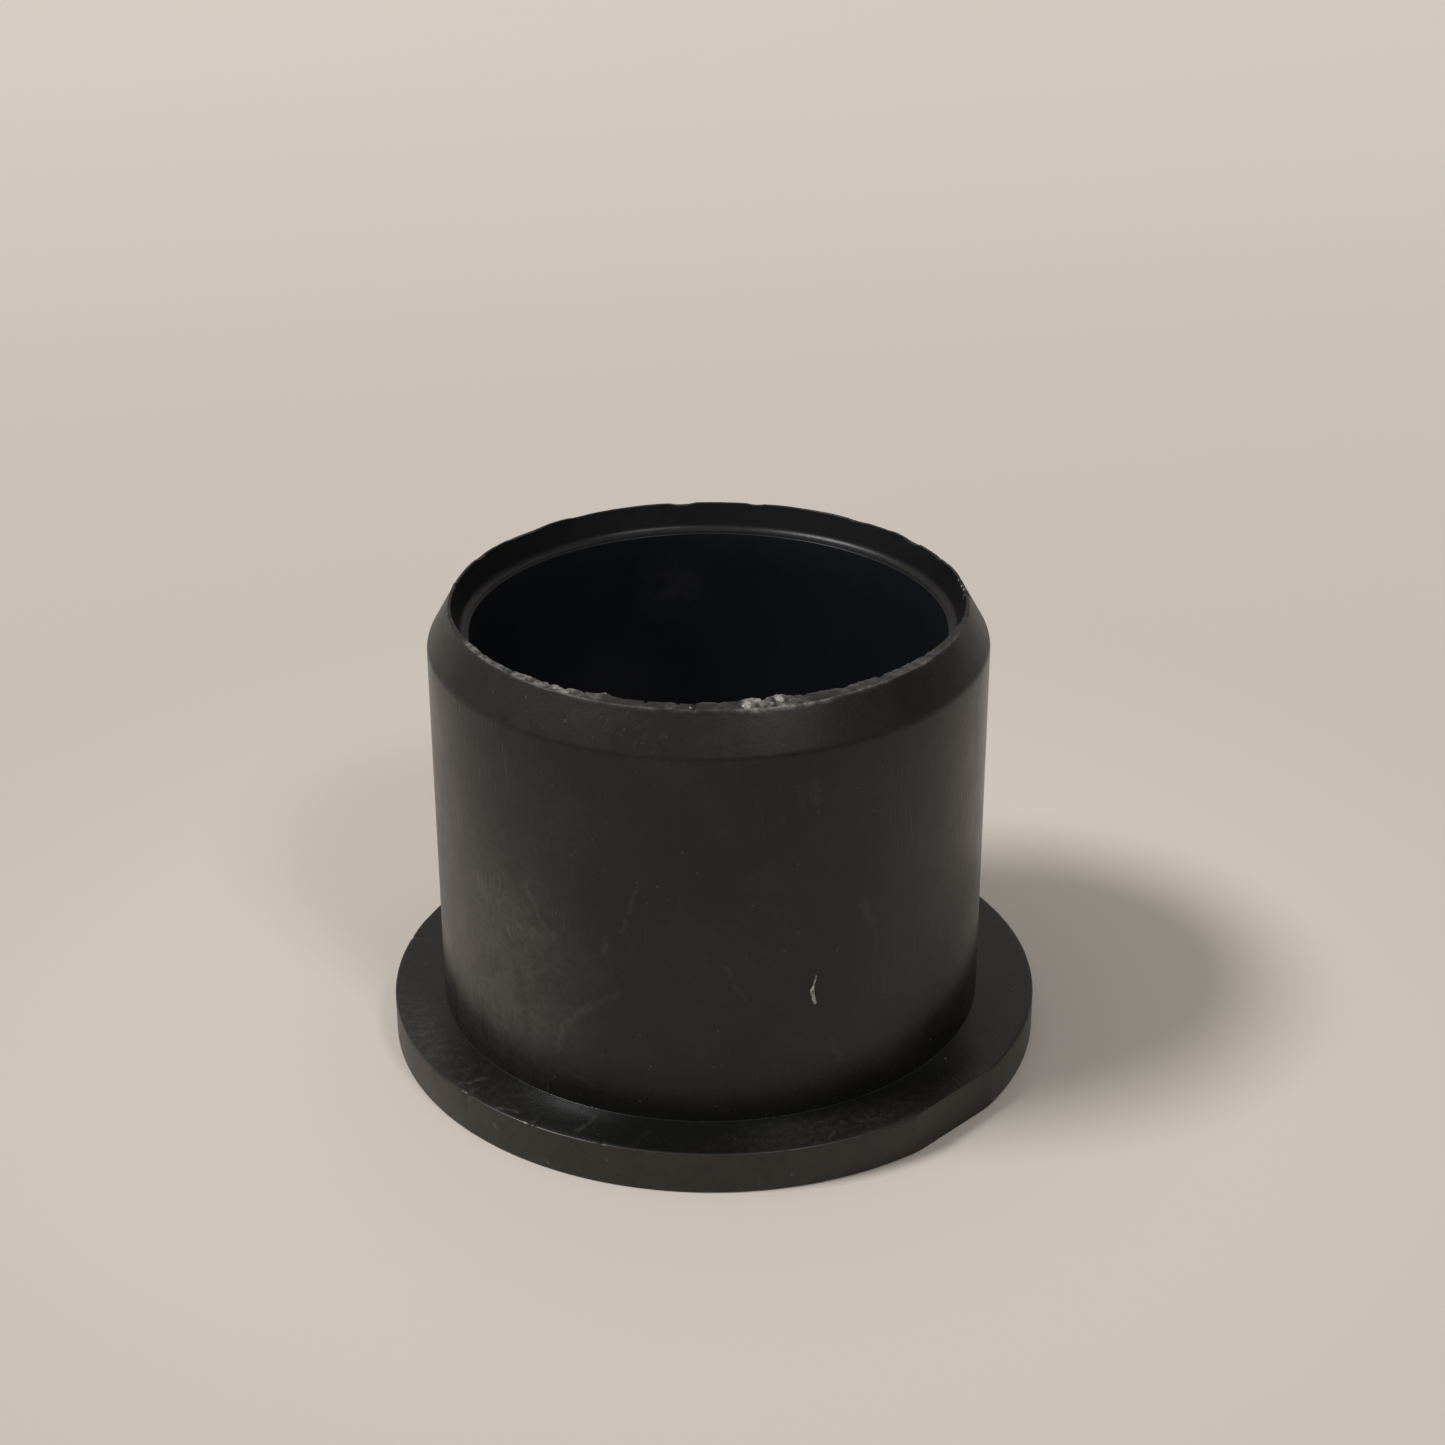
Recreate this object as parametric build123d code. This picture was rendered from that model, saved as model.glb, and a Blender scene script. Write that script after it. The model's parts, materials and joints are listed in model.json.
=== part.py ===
from build123d import *

import os
from math import cos, hypot, sin

# Flanged sleeve bushing, moulded in one piece. All sizes are in millimetres.
# The origin is on the bore's axis at the flange's underside. +Z runs up the bore to the open end.

# Sleeve
bore_diameter = 27.0
wall_thickness = 2.375
overall_length = 27.0

# Flange, which stands out from the sleeve all round at its foot
flange_width = 3.175
flange_thickness = 2.54

# Open end: a tapered lead-in outside, a rim that is almost an edge, and a shorter and steeper lead-in
# inside, which ends on a narrow ledge round the mouth of the bore
outer_lead_in_length = 2.25
outer_lead_in_depth = 1.27
rim_width = 0.15
inner_lead_in_length = 1.6
mouth_ledge_width = 0.5

# Lip left over the lead-in where the moulding was cut free of its sprue: a crescent, widest at its angle
lip_width = 0.82
lip_length = 41.4
lip_angle = 279.0

# Rounded and broken edges
shoulder_radius = 0.15
barrel_end_radius = 0.8
ledge_corner_radius = 0.45
bore_mouth_radius = 0.08
flange_edge_radius = 0.18
bore_exit_break = 0.4

# Flat on the flange's edge where a gate was trimmed off. Angles count from +X towards +Y, in degrees.
gate_flat_depth = 0.3
gate_flat_angle = 315.5

# Nicks in the rim, each an angle, a width along the rim and a depth from the top
rim_nicks = [
    (2.0, 0.65, 0.34),
    (22.5, 1.2, 0.10),
    (34.0, 1.8, 0.11),
    (52.0, 1.5, 0.08),
    (79.0, 1.2, 0.09),
    (96.0, 2.0, 0.14),
    (138.5, 3.6, 0.10),
    (155.5, 1.3, 0.09),
    (174.0, 0.9, 0.12),
    (214.5, 0.6, 0.10),
    (235.5, 0.9, 0.12),
    (257.0, 0.9, 0.12),
    (266.7, 0.35, 0.28),
    (300.6, 1.2, 0.20),
    (310.6, 0.9, 0.14),
    (325.5, 0.7, 0.10),
    (349.0, 0.8, 0.20),
]

bore_radius = bore_diameter / 2
barrel_radius = bore_radius + wall_thickness
flange_radius = barrel_radius + flange_width
rim_outer_radius = barrel_radius - outer_lead_in_depth
rim_inner_radius = rim_outer_radius - rim_width


def rounded(section, corner, radius):
    """The section with the one corner at that point rounded."""
    vertex = section.vertices().sort_by_distance(Vector(*corner))[0]
    return fillet(vertex, radius)


def half_section():
    """The wall cut through from the axis outwards, radius across and height up."""
    bore_exit = (bore_radius, 0)
    flange_foot = (flange_radius, 0)
    flange_top = (flange_radius, flange_thickness)
    shoulder = (barrel_radius, flange_thickness)
    barrel_end = (barrel_radius, overall_length - outer_lead_in_length)
    rim_outside = (rim_outer_radius, overall_length)
    rim_inside = (rim_inner_radius, overall_length)
    ledge_corner = (bore_radius + mouth_ledge_width, overall_length - inner_lead_in_length)
    bore_mouth = (bore_radius, overall_length - inner_lead_in_length)
    outline = Polyline(
        bore_exit,
        flange_foot,
        flange_top,
        shoulder,
        barrel_end,
        rim_outside,
        rim_inside,
        ledge_corner,
        bore_mouth,
        close=True,
    )
    section = make_face(outline)
    section = rounded(section, flange_foot, flange_edge_radius)
    section = rounded(section, flange_top, flange_edge_radius)
    section = rounded(section, shoulder, shoulder_radius)
    section = rounded(section, barrel_end, barrel_end_radius)
    section = rounded(section, ledge_corner, ledge_corner_radius)
    section = rounded(section, bore_mouth, bore_mouth_radius)
    exit_vertex = section.vertices().sort_by_distance(Vector(*bore_exit))[0]
    return chamfer(exit_vertex, bore_exit_break)


def moulded_body():
    """The whole bushing as it left its mould."""
    return revolve(Plane.XZ * half_section(), axis=Axis.Z)


def sprue_lip():
    """The crescent of plastic that stands inwards over the lead-in, as the cutting left it."""
    half_turn = lip_length / (2 * rim_inner_radius)
    across = rim_inner_radius * sin(half_turn)
    rise = rim_inner_radius * (1 - cos(half_turn)) - lip_width
    inside_radius = (across**2 + rise**2) / (2 * rise)
    inside_centre = rim_inner_radius - lip_width - inside_radius
    outside_radius = rim_inner_radius + rim_width / 3
    blank = Cylinder(outside_radius, inner_lead_in_length, align=(Align.CENTER, Align.CENTER, Align.MAX))
    hollow = Cylinder(inside_radius, 3 * inner_lead_in_length)
    crescent = blank - Pos(inside_centre, 0, 0) * hollow
    return Rot(Z=lip_angle) * Pos(0, 0, overall_length) * crescent


def gate_trim():
    """What was pared off the flange's edge with the gate."""
    size = 2 * flange_width
    block = Box(size, flange_radius, flange_thickness, align=(Align.MIN, Align.CENTER, Align.MIN))
    return Rot(Z=gate_flat_angle) * Pos(flange_radius - gate_flat_depth, 0, 0) * block


def rim_nick(angle, width, depth):
    """A shallow scoop across the rim, as a roller laid over it would press in."""
    radius = hypot(width / 2, depth) ** 2 / (2 * depth)
    reach = wall_thickness + outer_lead_in_depth
    roller = Cylinder(radius, reach, rotation=(0, 90, 0))
    middle = rim_inner_radius + rim_width / 2
    return Rot(Z=angle) * Pos(middle, 0, overall_length - depth + radius) * roller


def flanged_bushing():
    """The bushing with its trimmed gate and its battered rim."""
    nicks = [rim_nick(angle, width, depth) for angle, width, depth in rim_nicks]
    return moulded_body() + sprue_lip() - [gate_trim(), *nicks]


os.makedirs("parts", exist_ok=True)
export_step(flanged_bushing(), "parts/flanged_bushing.step")
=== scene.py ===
import json
import math

import bmesh
import bpy
from mathutils import Matrix, Vector, noise


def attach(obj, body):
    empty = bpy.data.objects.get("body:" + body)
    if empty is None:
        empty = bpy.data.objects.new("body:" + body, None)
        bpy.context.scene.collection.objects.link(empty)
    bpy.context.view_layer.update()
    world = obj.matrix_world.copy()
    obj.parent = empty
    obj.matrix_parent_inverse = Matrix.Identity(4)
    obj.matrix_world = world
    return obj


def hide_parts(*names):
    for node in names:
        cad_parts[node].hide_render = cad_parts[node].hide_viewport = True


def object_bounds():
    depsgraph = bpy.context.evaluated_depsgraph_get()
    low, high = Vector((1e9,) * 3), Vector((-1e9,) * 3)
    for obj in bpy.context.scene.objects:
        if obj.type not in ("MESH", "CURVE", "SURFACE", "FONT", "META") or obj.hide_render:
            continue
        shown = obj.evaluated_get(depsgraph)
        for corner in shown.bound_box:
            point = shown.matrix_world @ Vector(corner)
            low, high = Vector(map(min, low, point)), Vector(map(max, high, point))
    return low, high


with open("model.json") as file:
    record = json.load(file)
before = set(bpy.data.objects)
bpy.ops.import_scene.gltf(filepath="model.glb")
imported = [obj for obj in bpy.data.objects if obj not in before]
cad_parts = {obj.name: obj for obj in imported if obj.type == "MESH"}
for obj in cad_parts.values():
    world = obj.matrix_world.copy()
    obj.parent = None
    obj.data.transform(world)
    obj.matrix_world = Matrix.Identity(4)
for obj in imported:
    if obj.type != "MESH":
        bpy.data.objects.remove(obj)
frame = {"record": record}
cadLow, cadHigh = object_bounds()
mounts = {mount["name"]: mount for mount in frame["record"]["mounts"]}
mm = 0.001
print("frame loaded")

# the sizes the frame gives, in metres
sleeveRadius = mounts["sleeve_outside"]["dims"]["r_mm"] * mm
boreRadius = mounts["bore"]["dims"]["r_mm"] * mm
flangeRadius = cadHigh.x
flangeTop = mounts["flange_shoulder"]["pos_m"][2]
rimHeight = cadHigh.z


# small helpers for node trees
def addNode(tree, kind, **sockets):
    node = tree.nodes.new(kind)
    for name, value in sockets.items():
        node.inputs[name].default_value = value
    return node


def mathNode(tree, operation, first, second=None, clamp=False):
    node = tree.nodes.new("ShaderNodeMath")
    node.operation = operation
    node.use_clamp = clamp
    for slot, value in enumerate((first, second)):
        if value is None:
            continue
        if isinstance(value, (int, float)):
            node.inputs[slot].default_value = value
        else:
            tree.links.new(value, node.inputs[slot])
    return node.outputs[0]


def rangeNode(tree, value, low, high, toLow=0.0, toHigh=1.0):
    node = tree.nodes.new("ShaderNodeMapRange")
    node.interpolation_type = "SMOOTHSTEP"
    tree.links.new(value, node.inputs["Value"])
    node.inputs["From Min"].default_value = low
    node.inputs["From Max"].default_value = high
    node.inputs["To Min"].default_value = toLow
    node.inputs["To Max"].default_value = toHigh
    return node.outputs["Result"]


def noiseNode(tree, vector, scale, detail=2.0, roughness=0.5, distortion=0.0):
    node = addNode(tree, "ShaderNodeTexNoise", Scale=scale, Detail=detail, Roughness=roughness,
                   Distortion=distortion)
    tree.links.new(vector, node.inputs["Vector"])
    return node.outputs["Fac"]


def mixColors(tree, factor, first, second):
    node = tree.nodes.new("ShaderNodeMix")
    node.data_type = "RGBA"
    tree.links.new(factor, node.inputs["Factor"])
    for name, value in (("A", first), ("B", second)):
        socket = next(s for s in node.inputs if s.name == name and s.type == "RGBA")
        if isinstance(value, tuple):
            socket.default_value = (*value, 1.0)
        else:
            tree.links.new(value, socket)
    return next(s for s in node.outputs if s.type == "RGBA")


# the bushing, one moulding spun round its bore
bushingShape = {
    "outerLeadInLength": 2.25 * mm,
    "outerLeadInDepth": 1.27 * mm,
    "rimWidth": 0.15 * mm,
    "innerLeadInLength": 1.6 * mm,
    "mouthLedge": 0.5 * mm,         # the ledge between the inner lead-in and the bore
    "ledgeCornerReach": 0.36 * mm,  # each reach is how far a corner's rounding runs along its sides
    "boreMouthReach": 0.06 * mm,
    "shoulderReach": 0.04 * mm,
    "barrelEndReach": 0.21 * mm,
    "flangeEdgeReach": 0.16 * mm,
    "boreExitReach": 0.4 * mm,
    "rimEdgeReach": 0.02 * mm,
    "sectorSteps": 64,              # steps in a sixteenth of a turn
    "fineSpacing": 0.06 * mm,       # between the rings at the rim
    "coarseSpacing": 2.5 * mm,
    "batteredDepth": 0.6 * mm,      # how far down the outer lead-in the fine rings go
    "gateFlatDepth": 0.3 * mm,
    "gateFlatAngle": 315.5,
    "flangeShift": (0.22 * mm, 0.06 * mm),    # the flange stands a little off the sleeve's centre
    "leadInScuffed": 0.2,           # how far the outer lead-in and the flange's side are scuffed grey
    "flangeSideScuffed": 0.9,
    "dentReach": 0.45 * mm,         # how far from the flange's upper edge a dent reaches
    # dents in the flange's upper edge: an angle, a width and a depth in mm
    "flangeDents": [(223.0, 0.6, 0.10), (238.0, 0.5, 0.08), (251.0, 0.3, 0.04), (281.0, 0.4, 0.04),
                    (33.0, 0.5, 0.06), (118.0, 0.7, 0.07), (167.0, 0.4, 0.05)],
    "edgeWear": 0.012 * mm,         # between the dents the edge is a little uneven as well
    "edgePatches": 900.0,           # a metre
    "sharpAngle": 38.0,             # faces that meet at more than this keep a sharp edge
}

# how the rim was left by the cutting and then battered. Angles are in degrees from +X, the rest in mm
rimWear = {
    # the lip over the inner lead-in, a ragged crescent: angles and how far it stands in there
    "lip": [(186, 0.0), (194, 0.05), (200, 0.13), (206, 0.19), (215, 0.24), (222, 0.28), (226, 0.36),
            (231, 0.41), (236, 0.42), (240, 0.50), (243.5, 0.60), (245.2, 0.70), (246.2, 0.86),
            (247.4, 0.84), (248.6, 0.68), (253, 0.62), (255.8, 0.64), (256.3, 0.46), (256.9, 0.62),
            (262, 0.70), (265.8, 0.60), (268, 0.78), (274, 0.84), (276.5, 0.88), (280, 0.94),
            (282.3, 0.84), (284.5, 0.94), (287, 0.90), (290, 0.84), (296, 0.78), (298.8, 0.76),
            (300.6, 0.63), (302.4, 0.70), (307, 0.70), (309.4, 0.66), (310.6, 0.56), (312.2, 0.60),
            (318, 0.56), (325, 0.49), (330, 0.38), (337, 0.32), (342, 0.22), (347, 0.10), (358, 0.0)],
    "lipDepth": 1.2 * mm,
    "wideLip": (0.08 * mm, 0.35 * mm),    # a lip counts as wide by steps between these two widths
    "lipTopShare": 0.58,            # of the rings on the lip, how many lie on its top
    "ragged": 0.035 * mm,           # how far its inner edge wanders
    "raggedPatches": (1.1, 2.9),    # in patches of two sizes, so many a degree
    # nicks: an angle, a width along the rim, a depth and the steepness of the sides (2 is a scoop, 8 a slot).
    # Where the lip is wide they only break its inner edge
    "nicks": [(7.2, 0.7, 0.08, 2), (22.8, 0.6, 0.09, 2), (34.0, 1.3, 0.10, 4), (52.0, 1.6, 0.07, 2),
              (78.5, 1.1, 0.09, 2), (96.0, 1.6, 0.13, 2), (138.5, 3.4, 0.10, 3), (155.5, 1.2, 0.08, 2),
              (173.8, 0.4, 0.12, 3), (190.0, 0.7, 0.07, 2), (212.0, 0.5, 0.05, 2), (222.9, 0.3, 0.06, 3),
              (231.2, 0.3, 0.08, 2), (233.6, 0.3, 0.10, 3), (237.6, 0.4, 0.09, 3), (242.0, 0.3, 0.08, 2),
              (251.5, 0.5, 0.05, 2), (256.4, 0.2, 0.06, 4), (263.4, 0.3, 0.08, 3), (272.2, 0.4, 0.06, 2),
              (281.9, 0.3, 0.12, 4), (291.2, 0.3, 0.08, 3), (300.6, 0.8, 0.06, 2), (310.6, 0.5, 0.06, 2),
              (316.8, 0.3, 0.06, 3), (325.6, 0.5, 0.07, 2), (337.5, 0.5, 0.05, 2), (344.5, 0.6, 0.03, 2),
              (349.0, 0.8, 0.04, 2)],
    # slots go right across the rim
    "slots": [(2.0, 0.65, 0.34, 8), (266.75, 0.16, 0.10, 4)],
    # places where plastic was pushed up
    "lumps": [(11.3, 0.5, 0.05, 2), (14.5, 2.4, 0.07, 3), (40.0, 1.4, 0.05, 2), (66.0, 5.0, 0.03, 6),
              (110.0, 5.5, 0.03, 6), (128.0, 2.1, 0.06, 4), (150.0, 11.0, 0.06, 3), (151.0, 1.9, 0.07, 3),
              (172.0, 0.6, 0.09, 2), (246.6, 0.4, 0.05, 2), (279.6, 0.9, 0.05, 4), (284.6, 0.9, 0.08, 4)],
    # stretches of the rim: from, to and the soft angle at each end
    "burrSpan": (203.0, 243.0, 4.0),
    "burrHeight": 0.045 * mm,
    "tearSpan": (275.5, 290.0, 2.5),
    "tearHeight": 0.08 * mm,
    "crushedSpan": (275.0, 297.0, 3.0),    # the rim's outer edge is knocked down here
    "crushedDepth": 0.08 * mm,
    # noise patches a metre, and how far they move the rim up and down or in and out
    "finePatches": (1800.0, 4200.0),
    "coarsePatches": 700.0,
    "sidePatches": 1500.0,
    "spotPatches": 3200.0,
    "fineLift": 0.010 * mm,
    "coarseLift": 0.012 * mm,
    "innerEdgeLift": 0.03 * mm,
    "sideMove": 0.008 * mm,
    "lipSideMove": 0.012 * mm,
    "spotMove": 0.14 * mm,
    "seed": 52,                     # for how the torn spots' outlines wander
    "liftReach": 0.3 * mm,          # so far below the top the rim is pushed up or aside with it
    "sideReach": 0.5 * mm,
    # how pale the lip's top, its inner edge, the crushed edge and the lip's outer edge are rubbed
    "lipPale": 0.08,
    "innerEdgePale": 0.14,
    "crushedPale": 0.45,
    "outerEdgePale": 0.26,
    "topReach": 0.12 * mm,          # only places this near to the top are pale
    # torn white spots: angle, radius, half size along the rim and half size across it
    "tornSpots": [(277.9, 14.12, 0.28, 0.30), (280.2, 13.86, 0.34, 0.26), (281.2, 13.75, 0.10, 0.16),
                  (285.2, 13.86, 0.20, 0.34), (284.2, 13.62, 0.12, 0.10), (283.2, 14.30, 0.10, 0.07),
                  (266.15, 14.30, 0.05, 0.20), (288.2, 14.05, 0.07, 0.05), (246.8, 13.70, 0.05, 0.08),
                  (6.2, 14.38, 0.16, 0.10), (3.9, 14.45, 0.09, 0.10), (9.5, 14.40, 0.10, 0.06)],
    # pale rubbed patches along the burr: angle, half length in degrees and strength
    "rubs": [(207.0, 5.0, 0.60), (214.0, 3.6, 0.75), (220.0, 3.6, 0.70), (226.5, 3.6, 1.0),
             (232.0, 2.6, 0.95), (237.5, 4.2, 1.1), (244.0, 4.0, 0.35), (262.0, 1.6, 0.20),
             (278.6, 2.2, 0.80), (281.6, 2.0, 0.85), (285.2, 1.6, 0.85), (288.5, 3.6, 0.30),
             (304.0, 8.0, 0.16), (320.0, 14.0, 0.22)],
}

rimOuter = sleeveRadius - bushingShape["outerLeadInDepth"]
rimInner = rimOuter - bushingShape["rimWidth"]


def sectionCorners(shape):
    # radius, height, reach of the rounding and its segments, going round the wall's section
    depth = shape["batteredDepth"]
    slope = shape["outerLeadInDepth"] / shape["outerLeadInLength"]
    mouthHeight = rimHeight - shape["innerLeadInLength"]
    return [
        (boreRadius, 0.0, shape["boreExitReach"], 1),
        (flangeRadius, 0.0, shape["flangeEdgeReach"], 4),
        (flangeRadius, flangeTop - shape["dentReach"], 0.0, 0),
        (flangeRadius, flangeTop, shape["flangeEdgeReach"], 4),
        (flangeRadius - shape["dentReach"], flangeTop, 0.0, 0),
        (sleeveRadius, flangeTop, shape["shoulderReach"], 3),
        (sleeveRadius, rimHeight - shape["outerLeadInLength"], shape["barrelEndReach"], 4),
        (rimOuter + depth * slope, rimHeight - depth, 0.0, 0),
        (rimOuter, rimHeight, shape["rimEdgeReach"], 2),
        (rimInner, rimHeight, shape["rimEdgeReach"], 2),
        (boreRadius + shape["mouthLedge"], mouthHeight, shape["ledgeCornerReach"], 6),
        (boreRadius, mouthHeight, shape["boreMouthReach"], 3),
    ]


def wallSection(shape):
    bm = bmesh.new()
    corners = sectionCorners(shape)
    points = [bm.verts.new((radius, 0.0, height)) for radius, height, reach, segments in corners]
    for first, second in zip(points, points[1:] + points[:1]):
        bm.edges.new((first, second))
    for point, (radius, height, reach, segments) in zip(points, corners):
        if segments:
            bmesh.ops.bevel(bm, geom=[point], offset=reach, offset_type="OFFSET", segments=segments,
                            profile=0.5, affect="VERTICES", material=-1)
    for edge in list(bm.edges):
        middle = (edge.verts[0].co + edge.verts[1].co) / 2
        onInnerLeadIn = middle.x < rimInner and middle.z > rimHeight - 0.9 * shape["innerLeadInLength"]
        battered = rimHeight - middle.z < shape["batteredDepth"] or onInnerLeadIn
        spacing = shape["fineSpacing"] if battered else shape["coarseSpacing"]
        cuts = int(edge.calc_length() / spacing)
        if cuts:
            bmesh.ops.subdivide_edges(bm, edges=[edge], cuts=cuts)
    return bm


def spinWhole(bm, steps):
    # a sixteenth of a turn is spun and then doubled four times, which is much quicker than a full spin
    turn = math.tau / 16
    bmesh.ops.spin(bm, geom=bm.verts[:] + bm.edges[:], cent=(0, 0, 0), axis=(0, 0, 1), dvec=(0, 0, 0),
                   angle=turn, steps=steps, use_merge=False, use_duplicate=False)
    for doubling in range(4):
        copied = bmesh.ops.duplicate(bm, geom=bm.verts[:] + bm.edges[:] + bm.faces[:])["geom"]
        fresh = [part for part in copied if isinstance(part, bmesh.types.BMVert)]
        bmesh.ops.rotate(bm, verts=fresh, cent=(0, 0, 0), matrix=Matrix.Rotation(turn, 3, "Z"))
        turn *= 2
    bmesh.ops.remove_doubles(bm, verts=bm.verts, dist=0.0005 * mm)
    bmesh.ops.recalc_face_normals(bm, faces=bm.faces)


def gapTo(angle, other):
    return (angle - other + 180.0) % 360.0 - 180.0


def fade(value, start, end):
    share = min(1.0, max(0.0, (value - start) / (end - start)))
    return share * share * (3.0 - 2.0 * share)


def span(angle, start, end, soft):
    # 1 between the two angles, falling to 0 over the soft angle inside each end
    return fade(angle, start, start + soft) * fade(angle, end, end - soft)


def markHeight(angle, marks):
    # how high the marks of a list stand, or how deep they go, at an angle
    total = 0.0
    for place, width, height, steepness in marks:
        share = abs(math.radians(gapTo(angle, place))) * rimOuter / (width * mm / 2)
        if share < 1.0:
            total = max(total, height * mm * (1.0 - share ** steepness))
    return total


def lipWidthAt(angle, wear):
    width = 0.0
    for (start, first), (end, second) in zip(wear["lip"], wear["lip"][1:]):
        if start <= angle < end:
            width = (first + (second - first) * (angle - start) / (end - start)) * mm
    coarse, fine = wear["raggedPatches"]
    wobble = noise.noise(Vector((angle * coarse, 3.1, 0.0)))
    wobble += 0.8 * noise.noise(Vector((angle * fine, 7.7, 0.0)))
    return max(0.0, width + wobble * min(wear["ragged"], width / 3))


def rubAt(angle, wear):
    return max(strength * fade(abs(gapTo(angle, place)), reach, 0.3 * reach)
               for place, reach, strength in wear["rubs"])


def rimAt(angle, wear):
    # what the rim has at one angle
    return {
        "nick": markHeight(angle, wear["nicks"]),
        "slot": markHeight(angle, wear["slots"]),
        "lump": markHeight(angle, wear["lumps"]),
        "lipWidth": lipWidthAt(angle, wear),
        "rub": rubAt(angle, wear),
        "burr": span(angle, *wear["burrSpan"]),
        "tear": span(angle, *wear["tearSpan"]),
        "crushed": span(angle, *wear["crushedSpan"]),
    }


def foldLip(radius, depth, lipWidth, slope, wear):
    # the top of the inner lead-in is folded over to make the lip. Gives the new radius and depth
    lipDeep = min(lipWidth / slope, wear["lipDepth"])
    if lipDeep == 0.0 or depth >= lipDeep:
        return radius, depth
    innerEdge = rimInner - lipWidth
    share = depth / lipDeep
    topShare = wear["lipTopShare"]
    if share < topShare:
        return rimInner - lipWidth * share / topShare, 0.0
    share = (share - topShare) / (1.0 - topShare)
    return innerEdge + share * (rimInner - slope * lipDeep - innerEdge), lipDeep * share


def liftAt(rim, land, wide, rough, coarse, wear):
    # how far the rim is pushed up
    lift = rim["lump"] * (1.0 - wide * fade(land, 0.7, 0.2)) + coarse * wear["coarseLift"]
    lift += rough * wear["fineLift"]
    lift += rough * wear["innerEdgeLift"] * wide * fade(land, 0.55, 1.0)
    lift += rim["burr"] * wear["burrHeight"] * fade(land, 0.2, 0.7) * (0.8 + rough)
    lift += rim["tear"] * wear["tearHeight"] * fade(land, 0.1, 0.5) * (0.7 + 1.3 * rough)
    lift -= rim["crushed"] * wear["crushedDepth"] * fade(land, 0.3, 0.0) * (0.9 + 0.5 * coarse)
    return lift


def paleAt(rim, land, wide, rough, coarse, nearTop, wear):
    # how pale the plastic is rubbed
    pale = wear["lipPale"] * wide * nearTop * fade(rough, -0.1, 0.4)
    innerEdge = wear["innerEdgePale"] * fade(abs(land - 0.95), 0.15, 0.03)
    pale += innerEdge * wide * nearTop * fade(coarse, -0.3, 0.2)
    pale += rim["rub"] * fade(land, -0.05, 0.2) * nearTop * fade(rough, -0.55, 0.2)
    pale += wear["crushedPale"] * rim["crushed"] * fade(abs(land), 0.16, 0.04) * fade(rough, -0.5, 0.2)
    pale += wear["outerEdgePale"] * wide * fade(abs(land - 0.05), 0.14, 0.03) * fade(coarse, -0.35, 0.25)
    return min(1.0, max(0.0, pale))


def tornAt(angle, radius, place, rough, wear):
    # how white the plastic is torn, in spots with a wandering outline
    white = 0.0
    move = wear["spotMove"] * noise.noise_vector(place * wear["spotPatches"])
    for spotAngle, spotRadius, along, across in wear["tornSpots"]:
        sideways = (math.radians(gapTo(angle, spotAngle)) * radius + move.x) / (along * mm)
        inwards = (radius - spotRadius * mm + move.y) / (across * mm)
        white = max(white, fade(math.hypot(sideways, inwards) + 0.9 * rough, 1.25, 0.3))
    return white


def batterRim(bm, shape, wear):
    worn = bm.verts.layers.float.new("worn")
    torn = bm.verts.layers.float.new("torn")
    slope = (rimInner - boreRadius - shape["mouthLedge"]) / shape["innerLeadInLength"]
    finePatches, finestPatches = wear["finePatches"]
    noise.seed_set(wear["seed"])
    rims = {}
    for vert in bm.verts:
        radius = math.hypot(vert.co.x, vert.co.y)
        depth = rimHeight - vert.co.z
        onLeadIn = radius < rimInner
        if depth > (0.95 * shape["innerLeadInLength"] if onLeadIn else shape["batteredDepth"]):
            continue
        angle = math.degrees(math.atan2(vert.co.y, vert.co.x)) % 360.0
        key = round(angle, 2)
        if key not in rims:
            rims[key] = rimAt(angle, wear)
        rim = rims[key]
        if onLeadIn:
            radius, depth = foldLip(radius, depth, rim["lipWidth"], slope, wear)
        onTop = depth < 0.0001 * mm
        height = rimHeight - depth
        outward = Vector((math.cos(math.radians(angle)), math.sin(math.radians(angle)), 0.0))
        place = outward * radius
        # the land runs from 0 at the rim's outer edge to 1 at its inner edge
        land = (rimOuter - radius) / (shape["rimWidth"] + rim["lipWidth"])
        wide = fade(rim["lipWidth"], *wear["wideLip"])
        rough = noise.noise(place * finePatches) * 0.6 + noise.noise(place * finestPatches) * 0.4
        coarse = noise.noise(place * wear["coarsePatches"])
        lift = liftAt(rim, land, wide, rough, coarse, wear)
        cut = rim["slot"] + rim["nick"] * (1.0 - wide * fade(land, 0.85, 0.4))
        limit = rimHeight + lift - cut * (1.0 + 0.25 * rough)
        if onTop:
            height = limit
        else:
            height += max(0.0, lift) * max(0.0, 1.0 - depth / wear["liftReach"])
            height = min(height, limit)
        # ragged in plan as well
        side = noise.noise(Vector((place.x, place.y, height)) * wear["sidePatches"])
        side *= wear["sideMove"] + wear["lipSideMove"] * wide
        side *= fade(rimHeight - height, wear["sideReach"], 0.1 * mm) * fade(abs(land - 0.1), 0.05, 0.3)
        radius += side
        vert.co = outward * radius + Vector((0.0, 0.0, height))
        nearTop = float(onTop or rimHeight - height < wear["topReach"])
        vert[worn] = paleAt(rim, land, wide, rough, coarse, nearTop, wear)
        vert[torn] = tornAt(angle, radius, place, rough, wear) * nearTop


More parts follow.
